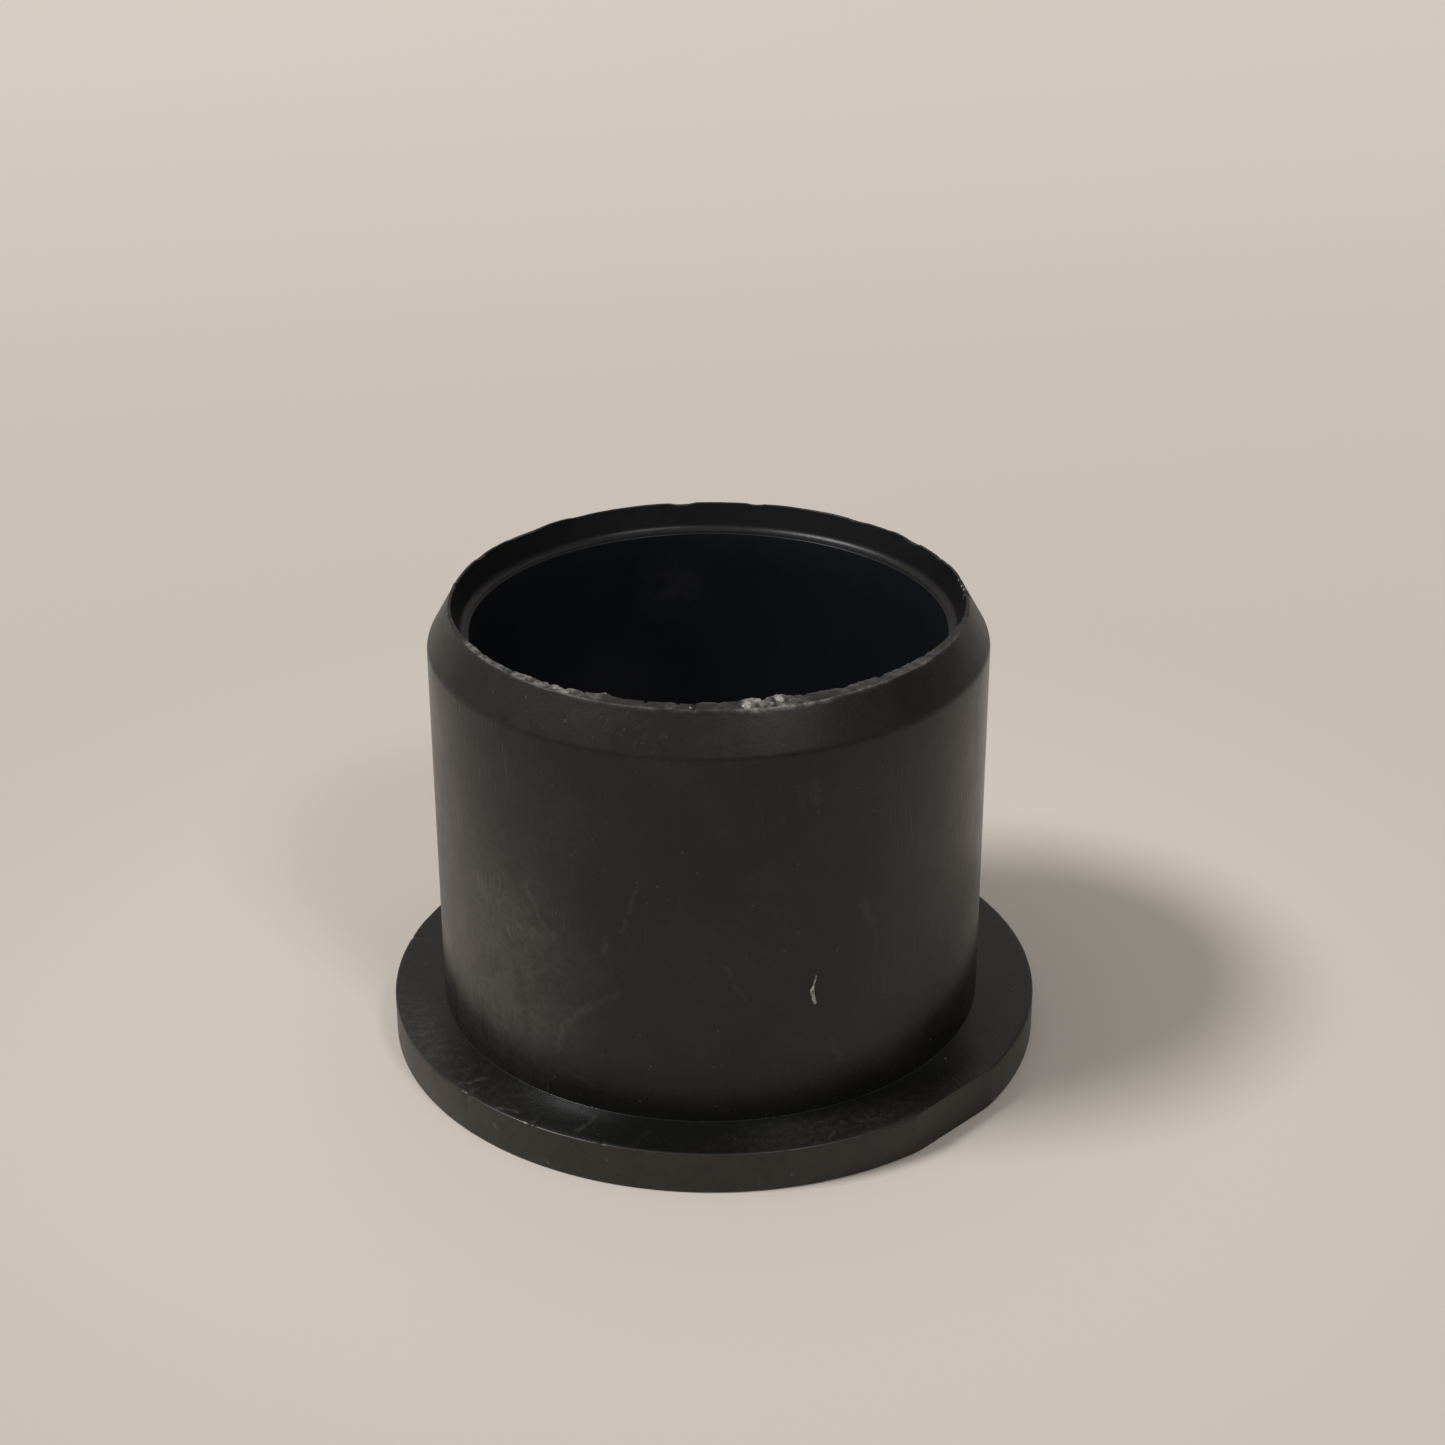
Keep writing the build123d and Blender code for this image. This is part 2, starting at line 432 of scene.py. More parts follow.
def markSurfaces(bm, shape):
    # what each place is, for the material: scuffed grey, rubbed dull, inside the rim, on the bore's wall, or
    # sheltered on the flange's top
    scuffed = bm.verts.layers.float.new("scuffed")
    rubbedDull = bm.verts.layers.float.new("rubbedDull")
    inside = bm.verts.layers.float.new("inside")
    deep = bm.verts.layers.float.new("deep")
    sheltered = bm.verts.layers.float.new("sheltered")
    barrelEnd = rimHeight - shape["outerLeadInLength"]
    for vert in bm.verts:
        radius = math.hypot(vert.co.x, vert.co.y)
        height = vert.co.z
        outerLeadIn = fade(height, barrelEnd - 0.05 * mm, barrelEnd + 0.1 * mm)
        outerLeadIn *= fade(radius, rimInner, rimOuter)
        flangeSide = fade(radius, flangeRadius - 0.12 * mm, flangeRadius) if height < 1.1 * flangeTop else 0.0
        vert[scuffed] = max(shape["leadInScuffed"] * outerLeadIn, shape["flangeSideScuffed"] * flangeSide)
        vert[rubbedDull] = max(outerLeadIn, flangeSide)
        vert[inside] = float(radius < rimInner + 0.001 * mm and height < rimHeight - 0.1 * mm)
        vert[deep] = float(radius < boreRadius + 0.02 * mm)
        onFlange = abs(height - flangeTop) < 0.05 * mm and radius > sleeveRadius + 0.01 * mm
        vert[sheltered] = float(onFlange and flangeRadius - radius > 0.1 * mm)


def trimGate(bm, shape):
    # vertices beyond the flat are pushed back onto it
    heading = math.radians(shape["gateFlatAngle"])
    outward = Vector((math.cos(heading), math.sin(heading), 0.0))
    for vert in bm.verts:
        over = vert.co.dot(outward) - (flangeRadius - shape["gateFlatDepth"])
        if over > 0.0:
            vert.co -= outward * over


def shiftFlange(bm, shift):
    # the share of the shift grows from none at the sleeve to all of it at the flange's edge
    for vert in bm.verts:
        share = fade(math.hypot(vert.co.x, vert.co.y), sleeveRadius, flangeRadius)
        vert.co += Vector((*shift, 0.0)) * share


def dentFlange(bm, shape):
    reach = shape["dentReach"]
    for vert in bm.verts:
        radius = math.hypot(vert.co.x, vert.co.y)
        inFromEdge = (flangeRadius - radius) + max(0.0, flangeTop - vert.co.z)
        if inFromEdge > reach or vert.co.z < 0.5 * flangeTop:
            continue
        angle = math.degrees(math.atan2(vert.co.y, vert.co.x))
        push = 0.0
        for place, width, depth in shape["flangeDents"]:
            share = abs(math.radians(gapTo(angle, place))) * flangeRadius / (width * mm / 2)
            push = max(push, depth * mm * (1.0 - share ** 2) if share < 1.0 else 0.0)
        push += shape["edgeWear"] * (0.5 + noise.noise(vert.co * shape["edgePatches"]))
        push *= fade(inFromEdge, reach, 0.1 * mm)
        outward = Vector((vert.co.x, vert.co.y, 0.0)).normalized()
        # the push is slanting, inwards and down
        vert.co -= (outward + Vector((0.0, 0.0, 1.0))) * push * 0.7


def makeBushing(shape, wear):
    bm = wallSection(shape)
    spinWhole(bm, shape["sectorSteps"])
    markSurfaces(bm, shape)
    batterRim(bm, shape, wear)
    dentFlange(bm, shape)
    trimGate(bm, shape)
    shiftFlange(bm, shape["flangeShift"])
    mesh = bpy.data.meshes.new("bushing_body")
    bm.to_mesh(mesh)
    bm.free()
    mesh.shade_smooth()
    mesh.set_sharp_from_angle(angle=math.radians(shape["sharpAngle"]))
    piece = bpy.data.objects.new("bushing_body", mesh)
    bpy.context.scene.collection.objects.link(piece)
    return piece


bushing = makeBushing(bushingShape, rimWear)
print("bushing:", len(bushing.data.vertices), "vertices,", len(bushing.data.polygons), "faces")


# a sliver of plastic scraped up on the sleeve and still hanging on it
sliverShape = {
    # angle round the sleeve, height, width and thickness along the sliver, all but the angle in mm
    "stations": [(291.0, 11.22, 0.07, 0.05), (290.8, 10.98, 0.11, 0.07), (290.5, 10.66, 0.12, 0.09),
                 (290.3, 10.52, 0.16, 0.11), (290.1, 10.42, 0.26, 0.15), (290.25, 10.05, 0.25, 0.16),
                 (290.55, 9.72, 0.24, 0.15), (290.8, 9.50, 0.19, 0.12), (290.85, 9.42, 0.08, 0.05)],
    "sides": 8,
    "standsOff": 0.35,              # of its thickness, how far its middle stands off the sleeve
    "torn": 0.8,
}


def makeSliver(shape):
    bm = bmesh.new()
    stations = shape["stations"]
    bmesh.ops.create_cone(bm, cap_ends=True, cap_tris=False, segments=shape["sides"],
                          radius1=1.0, radius2=1.0, depth=2.0)
    upright = [edge for edge in bm.edges if abs(edge.verts[0].co.z - edge.verts[1].co.z) > 1.0]
    bmesh.ops.subdivide_edges(bm, edges=upright, cuts=len(stations) - 2)
    torn = bm.verts.layers.float.new("torn")
    for vert in bm.verts:
        station = round((1.0 - vert.co.z) / 2.0 * (len(stations) - 1))
        angle, height, width, thickness = stations[station]
        turn = math.radians(angle)
        outward = Vector((math.cos(turn), math.sin(turn), 0.0))
        sideways = Vector((-math.sin(turn), math.cos(turn), 0.0))
        # the sliver lies on the sleeve, with a little of it sunk in
        middle = outward * (sleeveRadius + shape["standsOff"] * thickness * mm)
        middle.z = height * mm
        vert.co = middle + sideways * vert.co.x * width * mm / 2 + outward * vert.co.y * thickness * mm / 2
        vert[torn] = shape["torn"]
    bmesh.ops.recalc_face_normals(bm, faces=bm.faces)
    mesh = bpy.data.meshes.new("sleeve_sliver")
    bm.to_mesh(mesh)
    bm.free()
    mesh.shade_smooth()
    piece = bpy.data.objects.new("sleeve_sliver", mesh)
    bpy.context.scene.collection.objects.link(piece)
    return piece


sliver = makeSliver(sliverShape)
print("sliver done")


# black plastic: satin, scuffed grey on the outer lead-in and the flange's side, pale where it is rubbed, and
# almost white where it is torn. Its colour also carries painted light on the bore's wall and the flange's
# top, and painted shade at the sleeve's foot and on the flange's top next to the sleeve
plasticLook = {
    "black": (0.0056, 0.0054, 0.0052),
    "insideBlack": (0.0072, 0.0067, 0.0070),
    # painted light: the bore's wall gets a lighter, bluer colour than the plastic, standing in for the dim
    # light inside the bore
    "borePaintedLight": (0.0081, 0.0094, 0.0122),
    "scuffed": (0.0215, 0.0180, 0.0150),
    # the pale clouds' colour, also used for a painted reflection on the flange's top
    "cloudyAndSheen": (0.047, 0.0435, 0.0395),
    "rubbed": (0.25, 0.235, 0.215),
    "torn": (0.42, 0.40, 0.372),
    # painted light: the colour of a lighter patch on the bore's wall
    "boreLightPatch": (0.036, 0.036, 0.040),
    "ior": 1.40,
    "roughness": 0.30,
    "footRoughness": 0.27,            # the sleeve's foot is less scuffed, from the low height down
    "footLow": 4.0 * mm,
    "footHigh": 7.0 * mm,
    "footCloudsInShade": 0.35,               # how much of the clouds is left there; the rest is taken away as painted shade
    "footCalm": 0.6,                  # how much of the relief is gone there
    "scuffedRoughness": 0.42,
    "insideRoughness": 0.36,
    "cloudRoughness": 0.12,           # what clouds and torn places add
    "tornRoughness": 0.3,
    "cloudPlace": (-14.4 * mm, -7.4 * mm, 9.5 * mm),      # the sleeve is cloudy most round this point
    "cloudReach": 13.0 * mm,
    "cloudAmount": 1.25,
    "flangeSheenPlace": (7.5 * mm, -16.0 * mm, 2.5 * mm),        # painted reflection: the flange's top is a little lighter round this one, where a lamp's reflection spreads
    "flangeSheenReach": 7.0 * mm,
    "flangeSheenAmount": 0.22,
    "sleeveShadeReach": 2.2 * mm,           # painted shade: the flange's top keeps fewer pale speckles this near to the sleeve
    "sleeveShadeShare": 0.15,
    "boreLightPlace": (-2.2 * mm, 13.3 * mm, 22.0 * mm),     # painted light: a faint lighter patch on the wall of the bore, where light falls
    "boreLightReach": 3.2 * mm,
    "grainSize": 0.16 * mm,
    "grainHeight": 0.007 * mm,
    "ripplePatches": 900.0,           # a metre
    "rippleShare": 1.5,               # how much higher than the grain the ripples are
    # noise patterns: patches a metre, detail, roughness and distortion of the noise, the values at which it
    # starts and is full, and what the pattern gives there
    "cloudPattern": (380.0, 7.0, 0.7, 0.5, 0.36, 0.66, 0.35, 1.0),
    "faintPattern": (130.0, 4.0, 0.6, 0.0, 0.40, 0.70, 0.03, 0.15),
    "finePattern": (2600.0, 3.0, 0.6, 0.0, 0.3, 0.7, 0.65, 1.3),
    "specklePattern": (2000.0, 4.0, 0.65, 0.0, 0.36, 0.66, 0.35, 1.1),
    "scratchPattern": (230.0, 2.0, 0.5, 0.0, 0.48, 0.62, 0.15, 1.0),
    "speckPattern": (3800.0, 0.0, 0.5, 0.0, 0.835, 0.87, 0.0, 1.0),
    "strokePattern": (3000.0, 3.0, 0.6, 0.0, 0.35, 0.6, 0.3, 1.0),
    "mottlePattern": (650.0, 5.0, 0.65, 0.0, 0.32, 0.68, 0.65, 1.3),
    "boreLightPattern": (1100.0, 6.0, 0.65, 0.0, 0.30, 0.64, 0.1, 0.5),
    "brokenPattern": (5200.0, 3.0, 0.65, 0.0, 0.32, 0.6, 0.35, 1.0),
    "fleckPattern": (6500.0, 2.0, 0.5, 0.0, 0.36, 0.62, 0.0, 1.0),
    "unevenPattern": (420.0, 4.0, 0.6, 0.0, 0.3, 0.7, -0.03, 0.03),
    # scratches in three directions: patches a metre along each axis, the turn in degrees, and the values of
    # the noise at which they start and are full
    "scratches": [((3600.0, 3600.0, 420.0), (9.0, 7.0, 0.0), 0.64, 0.78),
                  ((3900.0, 3900.0, 520.0), (38.0, -35.0, 0.0), 0.62, 0.76),
                  ((3900.0, 3900.0, 480.0), (75.0, 30.0, 10.0), 0.62, 0.76)],
    "scratchAmount": 0.015,
    "cloudScratchAmount": 0.07,       # more where it is cloudy
    "speckAmount": 0.12,
    "fleckAmount": 0.85,
    "tornAmount": 0.35,
    "wobblePatches": 1400.0,          # the strokes wander off their lines: patches a metre, and twice how far
    "wobble": 0.8 * mm,
    # single pale strokes on the sleeve: an angle in degrees and a height in mm at each end, half the width in
    # mm, and the strength
    "sleeveStrokes": [
        ((255.9, 17.0), (254.6, 15.4), 0.24, 0.055), ((253.8, 14.9), (252.6, 14.2), 0.24, 0.05),
        ((249.8, 13.7), (248.4, 12.7), 0.22, 0.05), ((252.0, 10.3), (246.0, 9.4), 0.30, 0.045),
        ((246.0, 9.4), (239.5, 7.3), 0.34, 0.06), ((239.5, 7.3), (237.8, 5.8), 0.34, 0.07),
        ((231.0, 15.6), (235.5, 13.4), 0.26, 0.07), ((229.0, 12.6), (238.0, 12.9), 0.6, 0.06),
        ((272.8, 12.3), (276.5, 10.3), 0.22, 0.05), ((301.2, 15.0), (303.4, 13.5), 0.42, 0.06),
        ((290.2, 22.9), (290.9, 21.9), 0.40, 0.05), ((294.6, 7.0), (296.4, 5.5), 0.26, 0.05),
        ((239.0, 4.6), (246.0, 4.0), 0.26, 0.025), ((327.5, 19.2), (326.5, 17.6), 0.9, 0.05),
    ],
    "strokeRadius": 15.9,
    # and on the flange, with an angle, a radius and a height at each end
    "flangeStrokes": [
        ((246.0, 18.2, 2.6), (247.5, 16.6, 2.6), 0.22, 0.08),
        ((257.0, 18.4, 2.6), (258.5, 17.0, 2.6), 0.20, 0.03),
        ((230.5, 18.6, 2.6), (234.0, 18.2, 2.6), 0.24, 0.12),
        ((220.5, 18.4, 2.6), (222.0, 17.0, 2.6), 0.24, 0.10),
        ((290.0, 18.6, 2.6), (294.5, 17.4, 2.6), 0.16, 0.06),
        ((323.6, 16.6, 2.6), (323.8, 16.6, 2.6), 0.14, 0.9),
        ((237.1, 18.83, 2.5), (237.4, 18.83, 2.5), 0.13, 0.9),
        ((230.6, 18.86, 1.6), (230.9, 18.86, 1.4), 0.13, 0.5),
        ((241.0, 18.89, 0.5), (241.5, 18.89, 0.4), 0.10, 0.5),
    ],
}


def stretched(tree, place, scale, turn):
    node = tree.nodes.new("ShaderNodeMapping")
    node.inputs["Rotation"].default_value = [math.radians(angle) for angle in turn]
    node.inputs["Scale"].default_value = scale
    tree.links.new(place, node.inputs["Vector"])
    return node.outputs["Vector"]


def attributeNode(tree, name):
    node = tree.nodes.new("ShaderNodeAttribute")
    node.attribute_name = name
    return node.outputs["Fac"]


def distanceNode(tree, place, point):
    node = tree.nodes.new("ShaderNodeVectorMath")
    node.operation = "DISTANCE"
    tree.links.new(place, node.inputs[0])
    node.inputs[1].default_value = point
    return node.outputs["Value"]


def strokeNode(tree, place, stroke):
    # the strength of a stroke along its line, falling to 0 at half its width
    start, end, halfWidth, strength = stroke
    ends = []
    for angle, radius, height in (start, end):
        turn = math.radians(angle)
        ends.append(Vector((math.cos(turn) * radius, math.sin(turn) * radius, height)) * mm)
    along = ends[1] - ends[0]
    offset = tree.nodes.new("ShaderNodeVectorMath")
    offset.operation = "SUBTRACT"
    tree.links.new(place, offset.inputs[0])
    offset.inputs[1].default_value = ends[0]
    share = tree.nodes.new("ShaderNodeVectorMath")
    share.operation = "DOT_PRODUCT"
    tree.links.new(offset.outputs[0], share.inputs[0])
    share.inputs[1].default_value = along / along.length_squared
    nearest = tree.nodes.new("ShaderNodeVectorMath")
    nearest.operation = "SCALE"
    nearest.inputs[0].default_value = along
    tree.links.new(mathNode(tree, "ADD", share.outputs["Value"], 0.0, clamp=True), nearest.inputs["Scale"])
    gap = tree.nodes.new("ShaderNodeVectorMath")
    gap.operation = "DISTANCE"
    tree.links.new(offset.outputs[0], gap.inputs[0])
    tree.links.new(nearest.outputs[0], gap.inputs[1])
    return rangeNode(tree, gap.outputs["Value"], halfWidth * mm, 0.2 * halfWidth * mm, 0.0, strength)


def scratchLines(tree, place, scale, turn, low, high):
    lines = noiseNode(tree, stretched(tree, place, scale, turn), 1.0, 1.0, 0.4)
    return rangeNode(tree, lines, low, high)


def patternNode(tree, place, pattern):
    scale, detail, roughness, distortion, low, high, toLow, toHigh = pattern
    patches = noiseNode(tree, place, scale, detail, roughness, distortion)
    return rangeNode(tree, patches, low, high, toLow, toHigh)


def nearNode(tree, place, point, reach, fullShare):
    # 1 within a share of the reach of a point, 0 beyond the reach
    return rangeNode(tree, distanceNode(tree, place, point), reach, fullShare * reach)


def wobbledNode(tree, place, look):
    # the place, moved a little by noise
    patches = addNode(tree, "ShaderNodeTexNoise", Scale=look["wobblePatches"], Detail=3.0)
    tree.links.new(place, patches.inputs["Vector"])
    moved = tree.nodes.new("ShaderNodeVectorMath")
    moved.operation = "MULTIPLY_ADD"
    tree.links.new(patches.outputs["Color"], moved.inputs[0])
    moved.inputs[1].default_value = (look["wobble"],) * 3
    tree.links.new(place, moved.inputs[2])
    centred = tree.nodes.new("ShaderNodeVectorMath")
    centred.operation = "SUBTRACT"
    tree.links.new(moved.outputs[0], centred.inputs[0])
    centred.inputs[1].default_value = (look["wobble"] / 2,) * 3
    return centred.outputs[0]


def strokesNode(tree, place, look):
    radius = look["strokeRadius"]
    strokes = [((start[0], radius, start[1]), (end[0], radius, end[1]), halfWidth, strength)
               for start, end, halfWidth, strength in look["sleeveStrokes"]]
    strokes += look["flangeStrokes"]
    wobbled = wobbledNode(tree, place, look)
    highest = strokeNode(tree, wobbled, strokes[0])
    for stroke in strokes[1:]:
        highest = mathNode(tree, "MAXIMUM", highest, strokeNode(tree, wobbled, stroke))
    return mathNode(tree, "MULTIPLY", highest, patternNode(tree, place, look["strokePattern"]))


def cloudsAndSheenNode(tree, place, near, foot, sheltered, look):
    # clouds of fine scuffing, strongest low down on one side, with a painted reflection lightening the
    # flange's top round one point; less is left at the sleeve's foot, as painted shade
    cloudsAndSheen = mathNode(tree, "MULTIPLY", near, look["cloudAmount"])
    cloudsAndSheen = mathNode(tree, "MULTIPLY", cloudsAndSheen, patternNode(tree, place, look["cloudPattern"]))
    # painted reflection: a lamp's light spread on the flange's top
    flangeSheen = nearNode(tree, place, look["flangeSheenPlace"], look["flangeSheenReach"], 0.3)
    flangeSheen = mathNode(tree, "MULTIPLY", mathNode(tree, "MULTIPLY", flangeSheen, sheltered), look["flangeSheenAmount"])
    cloudsAndSheen = mathNode(tree, "ADD", cloudsAndSheen, flangeSheen)
    cloudsAndSheen = mathNode(tree, "ADD", cloudsAndSheen, patternNode(tree, place, look["faintPattern"]))
    cloudsAndSheen = mathNode(tree, "MULTIPLY", cloudsAndSheen, patternNode(tree, place, look["finePattern"]))
    # the flange's top keeps them in speckles, fewer next to the sleeve as painted shade
    level = tree.nodes.new("ShaderNodeVectorMath")
    level.operation = "MULTIPLY"
    tree.links.new(place, level.inputs[0])
    level.inputs[1].default_value = (1.0, 1.0, 0.0)
    radius = distanceNode(tree, level.outputs[0], (0.0, 0.0, 0.0))
    # painted shade on the flange's top next to the sleeve
    sleeveShadeEnd = sleeveRadius + look["sleeveShadeReach"]
    sleeveShadeFactor = rangeNode(tree, radius, sleeveRadius, sleeveShadeEnd, look["sleeveShadeShare"], 1.0)
    speckled = mathNode(tree, "MULTIPLY", patternNode(tree, place, look["specklePattern"]), sleeveShadeFactor)
    # painted shade: fewer pale clouds at the sleeve's foot darken it where it reflects the dark flange
    onSleeve = mathNode(tree, "SUBTRACT", 1.0, sheltered)
    kept = mathNode(tree, "MULTIPLY", sheltered, speckled)
    kept = mathNode(tree, "ADD", kept, mathNode(tree, "MULTIPLY", onSleeve, look["footCloudsInShade"]))
    gone = mathNode(tree, "MULTIPLY", foot, mathNode(tree, "SUBTRACT", 1.0, kept))
    return mathNode(tree, "MULTIPLY", cloudsAndSheen, mathNode(tree, "SUBTRACT", 1.0, gone))


def blackPlastic(look):
    material = bpy.data.materials.new("black_plastic")
    material.use_nodes = True
    tree = material.node_tree
    shader = tree.nodes["Principled BSDF"]
    shader.inputs["IOR"].default_value = look["ior"]
    place = tree.nodes.new("ShaderNodeTexCoord").outputs["Object"]
    inside = attributeNode(tree, "inside")
    deep = attributeNode(tree, "deep")
    scuffed = attributeNode(tree, "scuffed")
    rubbedDull = attributeNode(tree, "rubbedDull")
    worn = attributeNode(tree, "worn")
    torn = attributeNode(tree, "torn")
    sheltered = attributeNode(tree, "sheltered")
    outside = mathNode(tree, "SUBTRACT", 1.0, inside, clamp=True)

    split = tree.nodes.new("ShaderNodeSeparateXYZ")
    tree.links.new(place, split.inputs[0])
    foot = rangeNode(tree, split.outputs["Z"], look["footHigh"], look["footLow"])
    foot = mathNode(tree, "MULTIPLY", foot, mathNode(tree, "SUBTRACT", 1.0, rubbedDull))
    near = nearNode(tree, place, look["cloudPlace"], look["cloudReach"], 0.15)
    cloudsAndSheen = cloudsAndSheenNode(tree, place, near, foot, sheltered, look)
    cloudsAndSheen = mathNode(tree, "MULTIPLY", cloudsAndSheen, outside, clamp=True)

    # short faint scratches in patches, specks and single strokes
    directions = [scratchLines(tree, place, *scratch) for scratch in look["scratches"]]
    scratches = directions[0]
    for direction in directions[1:]:
        scratches = mathNode(tree, "MAXIMUM", scratches, direction)
    scratches = mathNode(tree, "MULTIPLY", scratches, patternNode(tree, place, look["scratchPattern"]))
    scratches = mathNode(tree, "MULTIPLY", scratches, outside)
    amount = mathNode(tree, "MULTIPLY", near, look["cloudScratchAmount"])
    amount = mathNode(tree, "ADD", amount, look["scratchAmount"])
    marks = mathNode(tree, "MULTIPLY", scratches, amount)
    specks = patternNode(tree, place, look["speckPattern"])
    marks = mathNode(tree, "ADD", marks, mathNode(tree, "MULTIPLY", specks, look["speckAmount"]))
    marks = mathNode(tree, "ADD", marks, strokesNode(tree, place, look))
    marks = mathNode(tree, "MULTIPLY", marks, outside)

    # colors, from the plain black to the torn white
    mottled = mathNode(tree, "MULTIPLY", scuffed, patternNode(tree, place, look["mottlePattern"]))
    color = mixColors(tree, mottled, look["black"], look["scuffed"])
    color = mixColors(tree, inside, color, look["insideBlack"])
    # painted light on the bore's wall
    color = mixColors(tree, deep, color, look["borePaintedLight"])
    # painted light: a faint lighter patch on the bore's wall
    boreLightPatch = nearNode(tree, place, look["boreLightPlace"], look["boreLightReach"], 0.0)
    boreLightPatch = mathNode(tree, "MULTIPLY", boreLightPatch, patternNode(tree, place, look["boreLightPattern"]))
    color = mixColors(tree, boreLightPatch, color, look["boreLightPatch"])
    # pale clouds of scuffing, with a painted reflection on the flange's top
    color = mixColors(tree, cloudsAndSheen, color, look["cloudyAndSheen"])
    color = mixColors(tree, marks, color, look["rubbed"])
    broken = patternNode(tree, place, look["brokenPattern"])
    color = mixColors(tree, mathNode(tree, "MULTIPLY", worn, broken, clamp=True), color, look["rubbed"])
    flecks = patternNode(tree, place, look["fleckPattern"])
    flecks = mathNode(tree, "MULTIPLY", flecks, rangeNode(tree, torn, 0.05, 0.5))
    color = mixColors(tree, mathNode(tree, "MULTIPLY", flecks, look["fleckAmount"]), color, look["torn"])
    color = mixColors(tree, mathNode(tree, "MULTIPLY", torn, look["tornAmount"]), color, look["torn"])
    tree.links.new(color, shader.inputs["Base Color"])

    roughness = rangeNode(tree, rubbedDull, 0.0, 1.0, look["roughness"], look["scuffedRoughness"])
    insideRough = mathNode(tree, "MULTIPLY", inside, look["insideRoughness"] - look["roughness"])
    roughness = mathNode(tree, "ADD", roughness, insideRough)
    smoother = mathNode(tree, "MULTIPLY", foot, look["roughness"] - look["footRoughness"])
    smoother = mathNode(tree, "MULTIPLY", smoother, mathNode(tree, "SUBTRACT", 1.0, sheltered))
    roughness = mathNode(tree, "SUBTRACT", roughness, smoother)
    roughness = mathNode(tree, "ADD", roughness, patternNode(tree, place, look["unevenPattern"]))
    cloudRough = mathNode(tree, "MULTIPLY", cloudsAndSheen, look["cloudRoughness"])
    tornRough = mathNode(tree, "MULTIPLY", torn, look["tornRoughness"])
    roughness = mathNode(tree, "ADD", roughness, cloudRough)
    roughness = mathNode(tree, "ADD", roughness, tornRough, clamp=True)
    tree.links.new(roughness, shader.inputs["Roughness"])

    # the grain, with ripples in it and the scratches cut in, calmer at the sleeve's foot
    grain = noiseNode(tree, place, 1.0 / look["grainSize"], 3.0, 0.6)
    ripple = noiseNode(tree, place, look["ripplePatches"])
    ripple = mathNode(tree, "MULTIPLY", ripple, look["rippleShare"])
    relief = mathNode(tree, "SUBTRACT", mathNode(tree, "ADD", grain, ripple), scratches)
    calm = mathNode(tree, "MULTIPLY", mathNode(tree, "SUBTRACT", 1.0, sheltered), look["footCalm"])
    calm = mathNode(tree, "MULTIPLY", foot, calm)
    relief = mathNode(tree, "MULTIPLY", relief, mathNode(tree, "SUBTRACT", 1.0, calm))
    bump = addNode(tree, "ShaderNodeBump", Strength=1.0, Distance=look["grainHeight"])
    tree.links.new(relief, bump.inputs["Height"])
    tree.links.new(bump.outputs["Normal"], shader.inputs["Normal"])
    return material


blackPlasticMaterial = blackPlastic(plasticLook)
for piece in (bushing, sliver):
    piece.data.materials.append(blackPlasticMaterial)
    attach(piece, "root")
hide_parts("flanged_bushing")
print("plastic done")


# the pale table
floorLook = {
    "size": 6.0,
    "color": (0.575, 0.522, 0.475),
    "farPaintedLightColor": (0.70, 0.635, 0.578),
    "nearPaintedLightColor": (0.638, 0.582, 0.530),    # painted light: lighter round the part, within the near reach
    "nearLightReach": 0.065,
    "nearLightFull": 0.4,          # the share of that reach over which it is full
    "farLightFrom": 0.02,          # painted light: the table grows lighter between these two distances behind the part
    "farLightTo": 0.30,
    "roughness": 0.85,
    "specular": 0.2,
}


def makeFloor(look):
    bm = bmesh.new()
    bmesh.ops.create_grid(bm, x_segments=1, y_segments=1, size=look["size"] / 2)
    mesh = bpy.data.meshes.new("floor")
    bm.to_mesh(mesh)
    bm.free()
    floor = bpy.data.objects.new("floor", mesh)
    bpy.context.scene.collection.objects.link(floor)
    material = bpy.data.materials.new("pale_table")
    material.use_nodes = True
    tree = material.node_tree
    shader = tree.nodes["Principled BSDF"]
    place = tree.nodes.new("ShaderNodeTexCoord").outputs["Object"]
    split = tree.nodes.new("ShaderNodeSeparateXYZ")
    tree.links.new(place, split.inputs[0])
    # painted light: the table lighter towards the back
    far = rangeNode(tree, split.outputs["Y"], look["farLightFrom"], look["farLightTo"])
    color = mixColors(tree, far, look["color"], look["farPaintedLightColor"])
    # painted light: the table lighter round the part
    near = nearNode(tree, place, (0.0, 0.0, 0.0), look["nearLightReach"], look["nearLightFull"])
    color = mixColors(tree, near, color, look["nearPaintedLightColor"])
    tree.links.new(color, shader.inputs["Base Color"])
    shader.inputs["Roughness"].default_value = look["roughness"]
    shader.inputs["Specular IOR Level"].default_value = look["specular"]
    mesh.materials.append(material)
    return floor


floor = makeFloor(floorLook)
print("floor done")


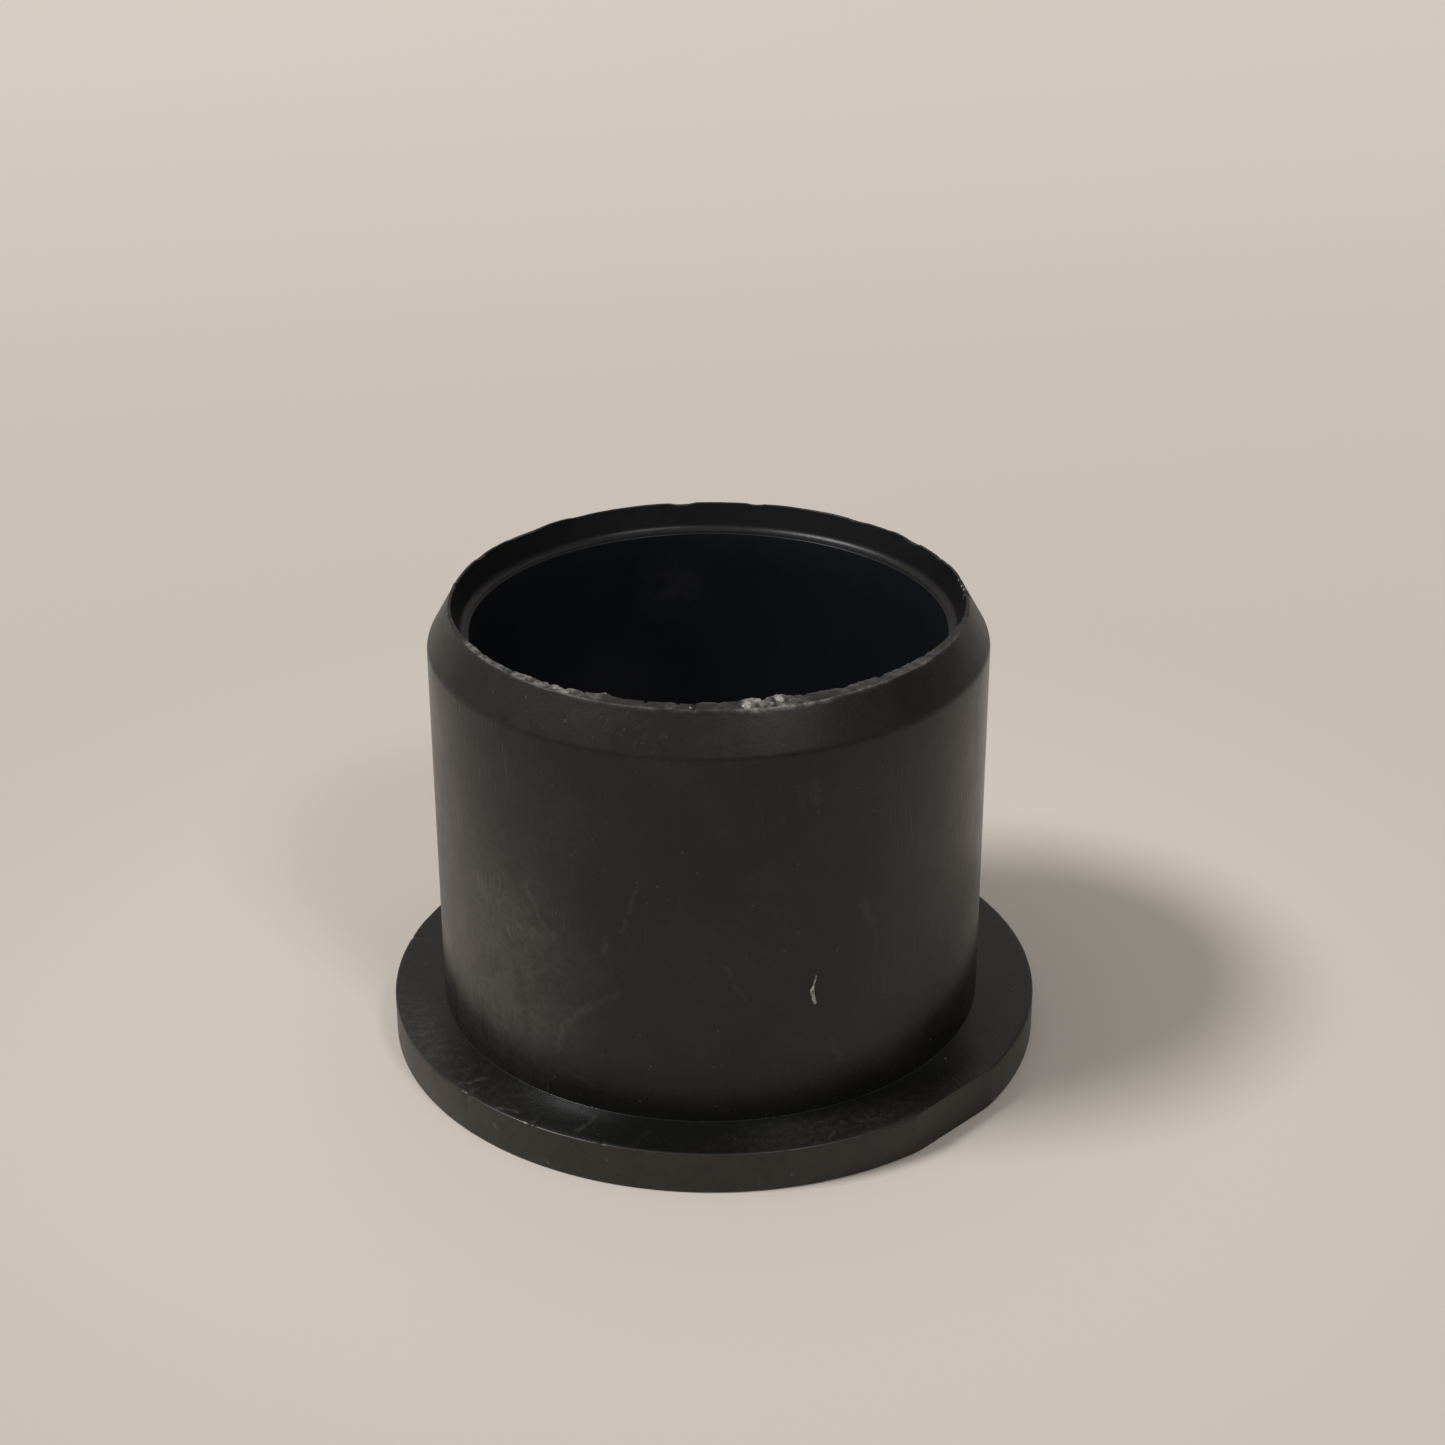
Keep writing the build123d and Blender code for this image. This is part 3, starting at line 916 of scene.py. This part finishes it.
# light shares are of the light that makes the floor look as its color is written
lightPlan = {
    # each lamp's share, its heading in degrees from +X, its rise, and how wide and how high it looks
    "lamps": {"key_lamp": (0.53, 192.7, 52.7, 19.5, 12.4), "fill_lamp": (0.14, 302.7, 44.6, 13.0, 13.0)},
    "distance": 4.0,          # from the part to a lamp
    "roomColor": (1.0, 0.97, 0.94),
    "roomLow": 0.25,
    "roomHigh": 0.42,
    "roomHeights": (0.35, 0.9),    # the sines of the rises that these two lie at
    "backColor": (1.0, 0.80, 0.72),
    "backGlow": 0.10,         # more light from behind the part, low down
    "backHeading": 90.0,
    "backRise": 27.0,
    "backAngles": (15.0, 50.0),    # the angles from there at which it is full and gone
    # darker parts of the room, low in front and low on the right: heading, rise, the angles from there at
    # which it is full and gone, and how much darker
    "darkPatches": [(284.0, 27.0, 16.0, 38.0, 0.11), (4.0, 14.0, 24.0, 50.0, 0.13)],
}


def directionTo(heading, rise):
    heading, rise = math.radians(heading), math.radians(rise)
    return Vector((math.cos(rise) * math.cos(heading), math.cos(rise) * math.sin(heading), math.sin(rise)))


def makeLamp(name, share, heading, rise, wide, high, distance):
    towards = directionTo(heading, rise)
    data = bpy.data.lights.new(name, "AREA")
    data.shape = "ELLIPSE"
    data.size = 2 * distance * math.tan(math.radians(wide) / 2)
    data.size_y = 2 * distance * math.tan(math.radians(high) / 2)
    data.energy = share * (math.pi * distance) ** 2 / towards.z
    lamp = bpy.data.objects.new(name, data)
    lamp.location = towards * distance
    lamp.rotation_mode = "QUATERNION"
    lamp.rotation_quaternion = towards.to_track_quat("Z", "Y")
    bpy.context.scene.collection.objects.link(lamp)
    return lamp


def roomPatch(tree, direction, heading, rise, inner, outer):
    # 1 within the inner angle of a direction, 0 beyond the outer angle
    facing = tree.nodes.new("ShaderNodeVectorMath")
    facing.operation = "DOT_PRODUCT"
    tree.links.new(direction, facing.inputs[0])
    facing.inputs[1].default_value = directionTo(heading, rise)
    outer, inner = math.cos(math.radians(outer)), math.cos(math.radians(inner))
    return rangeNode(tree, facing.outputs["Value"], outer, inner)


def makeRoom(plan):
    world = bpy.data.worlds.new("room")
    bpy.context.scene.world = world
    world.use_nodes = True
    tree = world.node_tree
    background = tree.nodes["Background"]
    direction = tree.nodes.new("ShaderNodeTexCoord").outputs["Generated"]
    split = tree.nodes.new("ShaderNodeSeparateXYZ")
    tree.links.new(direction, split.inputs[0])
    low, high = plan["roomHeights"]
    strength = rangeNode(tree, split.outputs["Z"], low, high, plan["roomLow"], plan["roomHigh"])
    for heading, rise, inner, outer, drop in plan["darkPatches"]:
        dark = roomPatch(tree, direction, heading, rise, inner, outer)
        strength = mathNode(tree, "SUBTRACT", strength, mathNode(tree, "MULTIPLY", dark, drop))
    glow = roomPatch(tree, direction, plan["backHeading"], plan["backRise"], *plan["backAngles"])
    glow = mathNode(tree, "MULTIPLY", glow, plan["backGlow"])
    background.inputs["Color"].default_value = (*plan["roomColor"], 1.0)
    tree.links.new(strength, background.inputs["Strength"])
    glowing = addNode(tree, "ShaderNodeBackground", Color=(*plan["backColor"], 1.0))
    tree.links.new(glow, glowing.inputs["Strength"])
    both = tree.nodes.new("ShaderNodeAddShader")
    tree.links.new(background.outputs[0], both.inputs[0])
    tree.links.new(glowing.outputs[0], both.inputs[1])
    tree.links.new(both.outputs[0], tree.nodes["World Output"].inputs["Surface"])


for lampName, lampPlace in lightPlan["lamps"].items():
    makeLamp(lampName, *lampPlace, lightPlan["distance"])
makeRoom(lightPlan)
print("light done")


# the camera stands where the photograph was taken from, worked out from the rings of the part
cameraPlan = {
    "frameSize": 1445,        # pixels
    "focalPixels": 2750.2,
    "sensor": 36.0,           # mm
    "clip": (0.005, 10.0),
    "back": 141.90 * mm,
    "up": 88.56 * mm,
    "pitch": 26.058,          # degrees down
    "yaw": 0.31,
    "roll": -0.183,
}


def makeCamera(plan):
    data = bpy.data.cameras.new("camera")
    data.sensor_width = plan["sensor"]
    data.lens = plan["focalPixels"] / plan["frameSize"] * plan["sensor"]
    data.clip_start, data.clip_end = plan["clip"]
    camera = bpy.data.objects.new("camera", data)
    turn = Matrix.Rotation(-math.radians(plan["yaw"]), 4, "Z")
    tilt = Matrix.Rotation(math.pi / 2 - math.radians(plan["pitch"]), 4, "X")
    roll = Matrix.Rotation(math.radians(plan["roll"]), 4, "Z")
    camera.matrix_world = Matrix.Translation((0.0, -plan["back"], plan["up"])) @ turn @ tilt @ roll
    bpy.context.scene.collection.objects.link(camera)
    bpy.context.scene.camera = camera
    return camera


makeCamera(cameraPlan)
bpy.context.scene.view_settings.view_transform = "Standard"
print("camera done")
